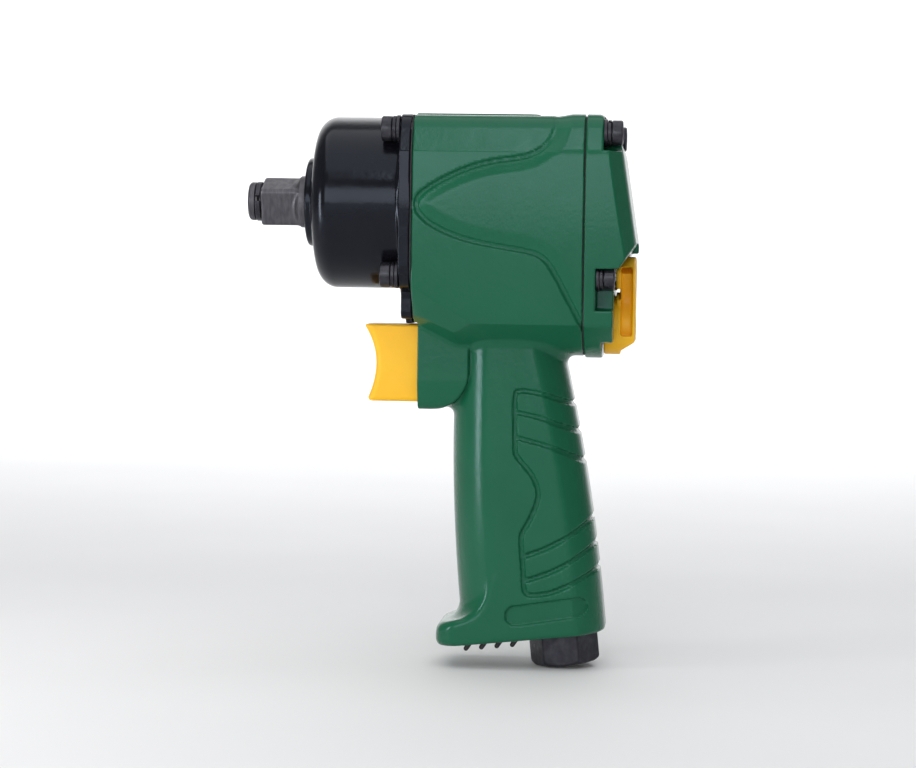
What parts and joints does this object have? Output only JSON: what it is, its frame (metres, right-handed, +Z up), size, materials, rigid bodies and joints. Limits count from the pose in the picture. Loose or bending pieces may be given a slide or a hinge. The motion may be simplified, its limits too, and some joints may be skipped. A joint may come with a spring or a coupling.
{
  "type": "impact wrench",
  "caption": "Compact pneumatic impact wrench: half-inch square drive, hammer case, pistol grip with trigger, rear reverse lever, and an air inlet and exhaust under the grip.",
  "frame": {"origin": "centre of the square drive's flat end face, on the drive axis", "axes": "+X along the drive axis from the nose to the rear cover, +Z up from the grip's foot to the motor, Y across the tool"},
  "size_m": [0.1305, 0.058, 0.183],
  "materials": {
    "green_casting": "gloss green paint over cast aluminium",
    "black_case": "gloss black",
    "gasket_fibre": "matte pressed fibre",
    "drive_steel": "phosphated grey steel",
    "black_steel": "black oxide",
    "rubber_seal": "matte",
    "bronze": "sintered bronze",
    "machined_steel": "ground steel",
    "end_plate_aluminium": "machined aluminium",
    "vane_composite": "laminated phenolic",
    "yellow_plastic": "satin moulded plastic",
    "black_plastic": "satin moulded plastic",
    "muffler_felt": "pressed felt"
  },
  "bodies": {
    "root": {"motor_housing": "green_casting", "rear_cover": "green_casting", "hammer_case": "black_case", "front_gasket": "gasket_fibre", "rear_gasket": "gasket_fibre", "anvil_bushing": "bronze", "cylinder": "machined_steel", "front_end_plate": "end_plate_aluminium", "rear_end_plate": "end_plate_aluminium", "front_bearing_outer_race": "machined_steel", "rear_bearing_outer_race": "machined_steel", "throttle_bushing": "bronze", "throttle_spring": "machined_steel", "inlet_bushing": "black_steel", "inlet_screen": "machined_steel", "exhaust_deflector": "black_plastic", "muffler": "muffler_felt", "detent_spring": "machined_steel", "front_screw_1": "black_steel", "front_screw_2": "black_steel", "front_screw_3": "black_steel", "front_screw_4": "black_steel", "rear_screw_1": "black_steel", "rear_screw_2": "black_steel", "rear_screw_3": "black_steel", "rear_screw_4": "black_steel", "front_lock_washer_1": "black_steel", "front_lock_washer_2": "black_steel", "front_lock_washer_3": "black_steel", "front_lock_washer_4": "black_steel", "rear_lock_washer_1": "black_steel", "rear_lock_washer_2": "black_steel", "rear_lock_washer_3": "black_steel", "rear_lock_washer_4": "black_steel"},
    "detent": {"detent_ball": "machined_steel"},
    "trigger": {"trigger": "yellow_plastic", "trigger_pin": "machined_steel", "throttle_valve": "machined_steel"},
    "reverse": {"reverse_lever": "yellow_plastic", "reverse_valve": "machined_steel", "lever_screw": "black_steel"},
    "rotor": {"rotor": "machined_steel", "vane_1": "vane_composite", "vane_2": "vane_composite", "vane_3": "vane_composite", "vane_4": "vane_composite", "vane_5": "vane_composite", "vane_6": "vane_composite", "hammer_cage": "machined_steel", "hammer_pin": "machined_steel", "stop_pin": "machined_steel", "front_bearing_inner_race": "machined_steel", "rear_bearing_inner_race": "machined_steel"},
    "front_balls": {"front_bearing_balls": "machined_steel"},
    "rear_balls": {"rear_bearing_balls": "machined_steel"},
    "hammer": {"hammer": "drive_steel"},
    "anvil": {"anvil": "drive_steel", "friction_ring": "black_steel", "retainer_o_ring": "rubber_seal"}
  },
  "joints": [
    {"name": "rotor_spin", "type": "hinge", "parent": "root", "child": "rotor", "pos_m": [0.084, 0, 0], "axis": [1, 0, 0], "continuous": true},
    {"name": "anvil_spin", "type": "hinge", "parent": "root", "child": "anvil", "pos_m": [0.02, 0, 0], "axis": [1, 0, 0], "continuous": true},
    {"name": "front_cage_spin", "type": "hinge", "parent": "root", "child": "front_balls", "pos_m": [0.0608, 0, 0], "axis": [1, 0, 0], "continuous": true},
    {"name": "rear_cage_spin", "type": "hinge", "parent": "root", "child": "rear_balls", "pos_m": [0.1074, 0, 0], "axis": [1, 0, 0], "continuous": true},
    {"name": "hammer_rock", "type": "hinge", "parent": "rotor", "child": "hammer", "pos_m": [0.0413, 0, 0.0165], "axis": [1, 0, 0], "range_deg": [-2.6, 2.6]},
    {"name": "trigger_slide", "type": "slide", "parent": "root", "child": "trigger", "axis": [1, 0, 0], "range_m": [0, 0.006], "stiffness_N_per_m": 900, "springref_m": -0.002, "deforming": ["throttle_spring"]},
    {"name": "reverse_swing", "type": "hinge", "parent": "root", "child": "reverse", "pos_m": [0.1215, 0, -0.0395], "axis": [1, 0, 0], "range_deg": [-22, 22]},
    {"name": "detent_click", "type": "slide", "parent": "root", "child": "detent", "axis": [1, 0, 0], "range_m": [-0.0006, 0], "stiffness_N_per_m": 500, "springref_m": 0.0004, "deforming": ["detent_spring"]}
  ],
  "couplings": [
    {"joint": "anvil_spin", "follows": "rotor_spin", "ratio": 1},
    {"joint": "front_cage_spin", "follows": "rotor_spin", "ratio": 0.385},
    {"joint": "rear_cage_spin", "follows": "rotor_spin", "ratio": 0.385}
  ]
}
